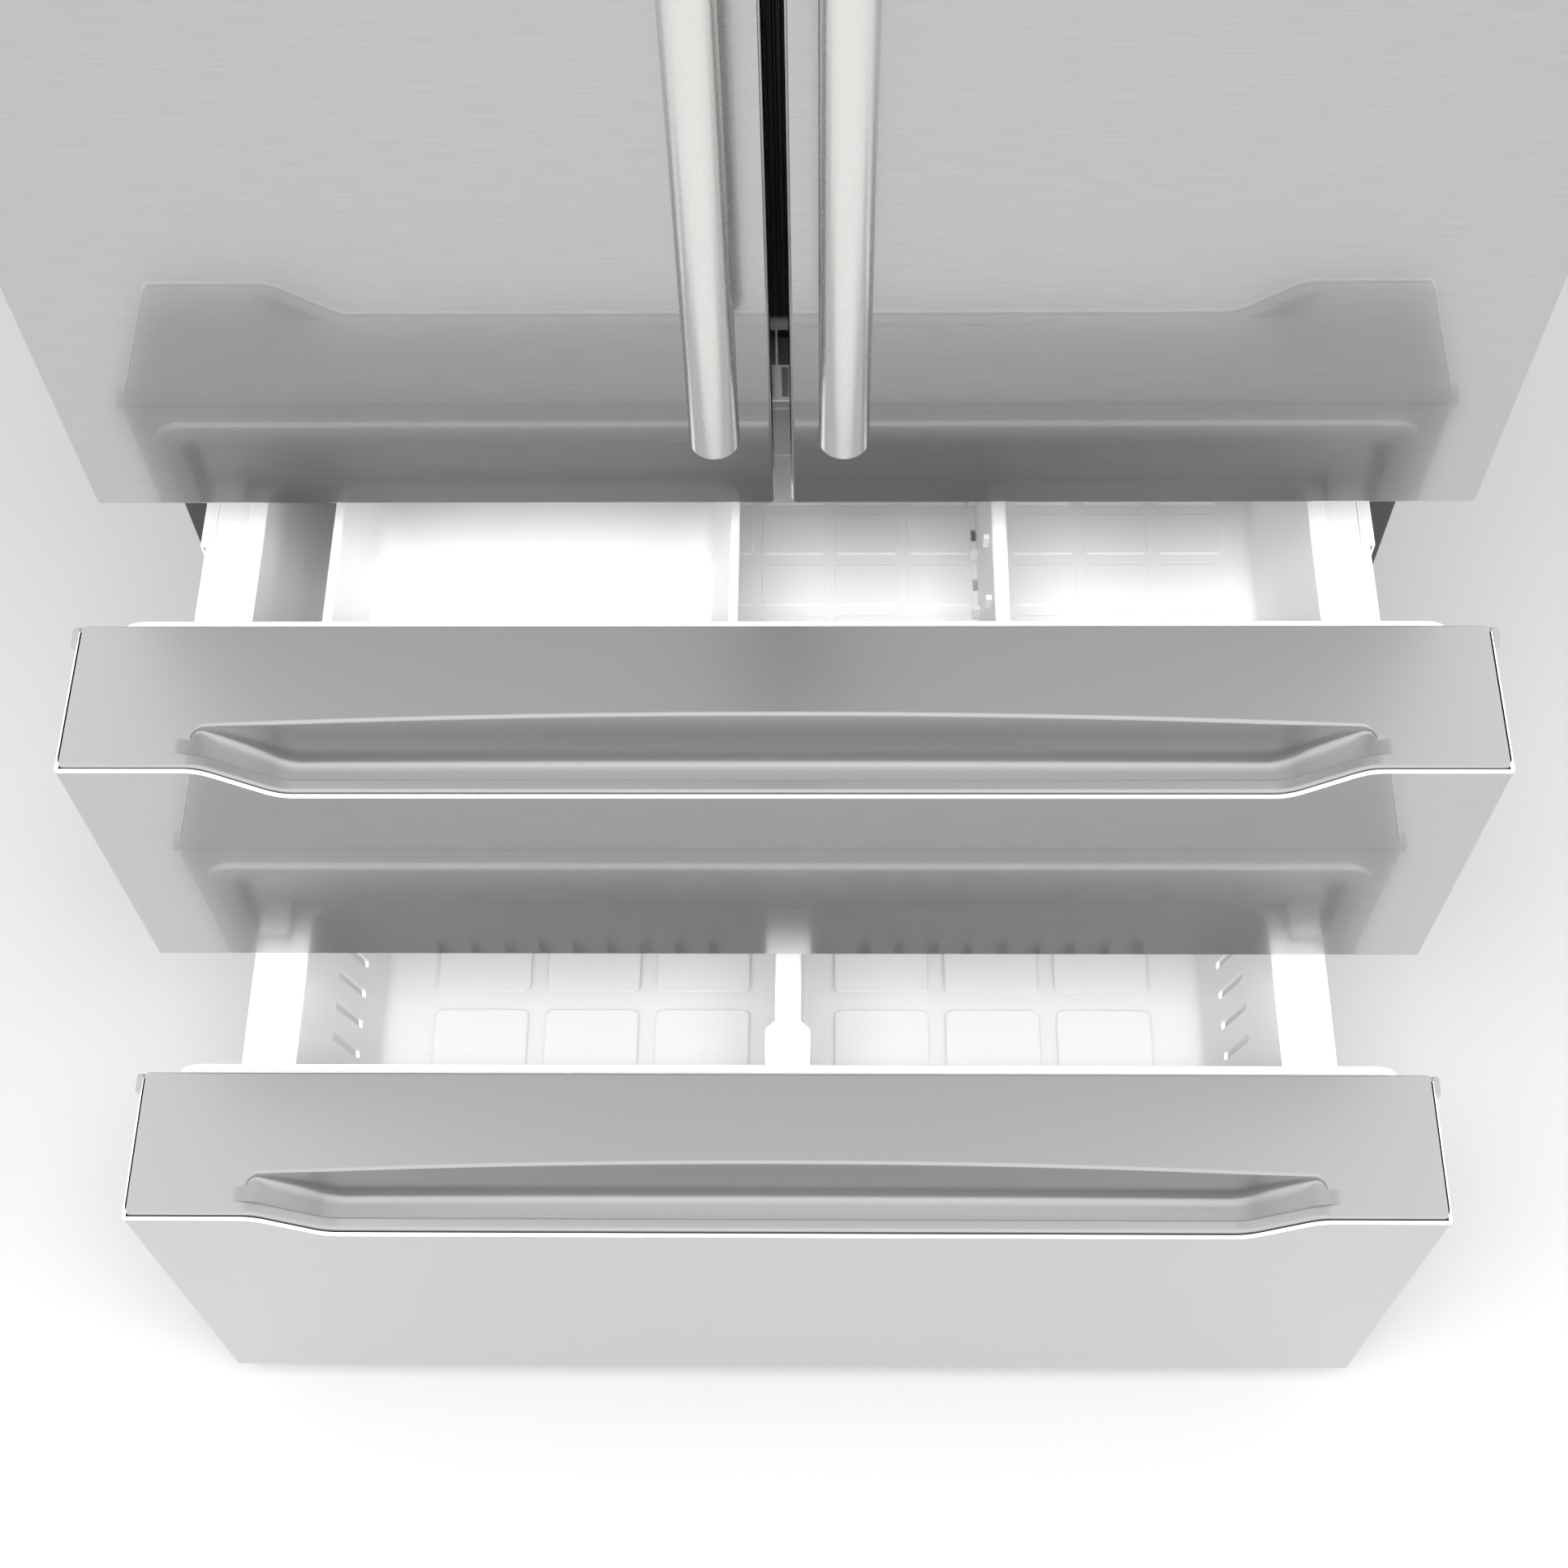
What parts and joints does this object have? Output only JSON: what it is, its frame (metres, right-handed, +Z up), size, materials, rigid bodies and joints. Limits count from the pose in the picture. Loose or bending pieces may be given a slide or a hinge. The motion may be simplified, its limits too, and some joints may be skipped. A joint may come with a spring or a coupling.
{
  "type": "french door refrigerator",
  "caption": "Free-standing steel refrigerator with hinged upper doors, bar handles and pull-out freezer drawers with pocket grips.",
  "frame": {"origin": "on the floor, mid-width, midway between the pulled-out lower drawer and the back", "axes": "+X to the right seen from the front, +Y to the back, +Z up"},
  "size_m": [0.917, 1.122, 1.778],
  "materials": {
    "brushed_stainless": "brushed along the width",
    "silver_cap": "silver-painted moulding",
    "case_paint": "fine-textured powder coat",
    "coated_steel": "white epoxy coat",
    "zinc_steel": "zinc plated",
    "liner_white": "vacuum formed",
    "white_plastic": "moulded",
    "clear_plastic": "clear moulded polystyrene",
    "dark_plastic": "moulded",
    "grey_plastic": "moulded",
    "gasket_grey": "soft magnetic gasket",
    "gasket_white": "soft magnetic gasket",
    "shelf_glass": "tempered",
    "foam": "foamed in place",
    "black_enamel": "gloss enamel",
    "fin_aluminium": "mill finish",
    "tyre_nylon": "moulded nylon"
  },
  "bodies": {
    "cabinet": {"outer_case": "case_paint", "back_panel": "zinc_steel", "base_frame": "case_paint", "insulation": "foam", "fridge_liner": "liner_white", "freezer_liner": "liner_white", "cross_rails": "white_plastic", "mullion_catch": "grey_plastic", "door_hinges": "zinc_steel", "hinge_covers": "dark_plastic", "kick_grille": "dark_plastic", "compressor": "black_enamel", "compressor_cover": "case_paint", "condenser": "fin_aluminium", "fan_motor": "black_enamel", "drip_pan": "dark_plastic", "cord_inlet": "dark_plastic", "shelf_frames": "white_plastic", "shelf_glass": "shelf_glass", "crispers": "clear_plastic", "air_duct": "white_plastic", "control_panel": "grey_plastic", "fixed_rails": "coated_steel"},
    "fan": {"condenser_fan": "white_plastic"},
    "left_foot": {"left_foot": "dark_plastic"},
    "right_foot": {"right_foot": "dark_plastic"},
    "left_roller": {"left_roller": "tyre_nylon"},
    "right_roller": {"right_roller": "tyre_nylon"},
    "left_door": {"left_door_skin": "brushed_stainless", "left_door_core": "foam", "left_door_liner": "liner_white", "left_door_caps": "dark_plastic", "left_door_gasket": "gasket_grey", "left_handle": "brushed_stainless", "left_door_bins": "clear_plastic"},
    "right_door": {"right_door_skin": "brushed_stainless", "right_door_core": "foam", "right_door_liner": "liner_white", "right_door_caps": "dark_plastic", "right_door_gasket": "gasket_grey", "right_handle": "brushed_stainless", "right_door_bins": "clear_plastic"},
    "flipper": {"flipper_mullion": "dark_plastic"},
    "upper_drawer": {"upper_skin": "brushed_stainless", "upper_caps": "silver_cap", "upper_inner_panel": "liner_white", "upper_gasket": "gasket_white", "upper_basket": "white_plastic", "upper_divider": "white_plastic", "upper_runners": "coated_steel"},
    "upper_mids": {"upper_mid_rails": "coated_steel"},
    "tray": {"ice_tray": "white_plastic"},
    "lower_drawer": {"lower_skin": "brushed_stainless", "lower_caps": "silver_cap", "lower_inner_panel": "liner_white", "lower_gasket": "gasket_white", "lower_basket": "white_plastic", "lower_divider": "white_plastic", "lower_runners": "coated_steel"},
    "lower_mids": {"lower_mid_rails": "coated_steel"}
  },
  "joints": [
    {"name": "left_door_hinge", "type": "hinge", "parent": "cabinet", "child": "left_door", "pos_m": [-0.43, -0.124, 0.7064], "axis": [0, 0, -1], "range_deg": [0, 120]},
    {"name": "right_door_hinge", "type": "hinge", "parent": "cabinet", "child": "right_door", "pos_m": [0.43, -0.124, 0.7064], "axis": [0, 0, 1], "range_deg": [0, 120]},
    {"name": "flipper_fold", "type": "hinge", "parent": "left_door", "child": "flipper", "pos_m": [-0.036, -0.038, 1.2], "axis": [0, 0, 1], "range_deg": [0, 90]},
    {"name": "upper_drawer_slide", "type": "slide", "parent": "cabinet", "child": "upper_drawer", "axis": [0, -1, 0], "range_m": [-0.199, 0.23]},
    {"name": "upper_mid_slide", "type": "slide", "parent": "cabinet", "child": "upper_mids", "axis": [0, -1, 0], "range_m": [-0.0995, 0.115]},
    {"name": "tray_slide", "type": "slide", "parent": "upper_drawer", "child": "tray", "axis": [1, 0, 0], "range_m": [-0.044, 0.158]},
    {"name": "lower_drawer_slide", "type": "slide", "parent": "cabinet", "child": "lower_drawer", "axis": [0, -1, 0], "range_m": [-0.397, 0.04]},
    {"name": "lower_mid_slide", "type": "slide", "parent": "cabinet", "child": "lower_mids", "axis": [0, -1, 0], "range_m": [-0.1985, 0.02]},
    {"name": "fan_spin", "type": "hinge", "parent": "cabinet", "child": "fan", "pos_m": [0.06, 0.4735, 0.126], "axis": [1, 0, 0], "continuous": true},
    {"name": "left_foot_turn", "type": "hinge", "parent": "cabinet", "child": "left_foot", "pos_m": [-0.4125, -0.032, 0], "axis": [0, 0, 1], "continuous": true},
    {"name": "right_foot_turn", "type": "hinge", "parent": "cabinet", "child": "right_foot", "pos_m": [0.4125, -0.032, 0], "axis": [0, 0, 1], "continuous": true},
    {"name": "left_roller_spin", "type": "hinge", "parent": "cabinet", "child": "left_roller", "pos_m": [-0.4075, 0.516, 0.025], "axis": [1, 0, 0], "continuous": true},
    {"name": "right_roller_spin", "type": "hinge", "parent": "cabinet", "child": "right_roller", "pos_m": [0.4075, 0.516, 0.025], "axis": [1, 0, 0], "continuous": true}
  ],
  "couplings": [
    {"joint": "upper_mid_slide", "follows": "upper_drawer_slide", "ratio": 0.5},
    {"joint": "lower_mid_slide", "follows": "lower_drawer_slide", "ratio": 0.5}
  ]
}
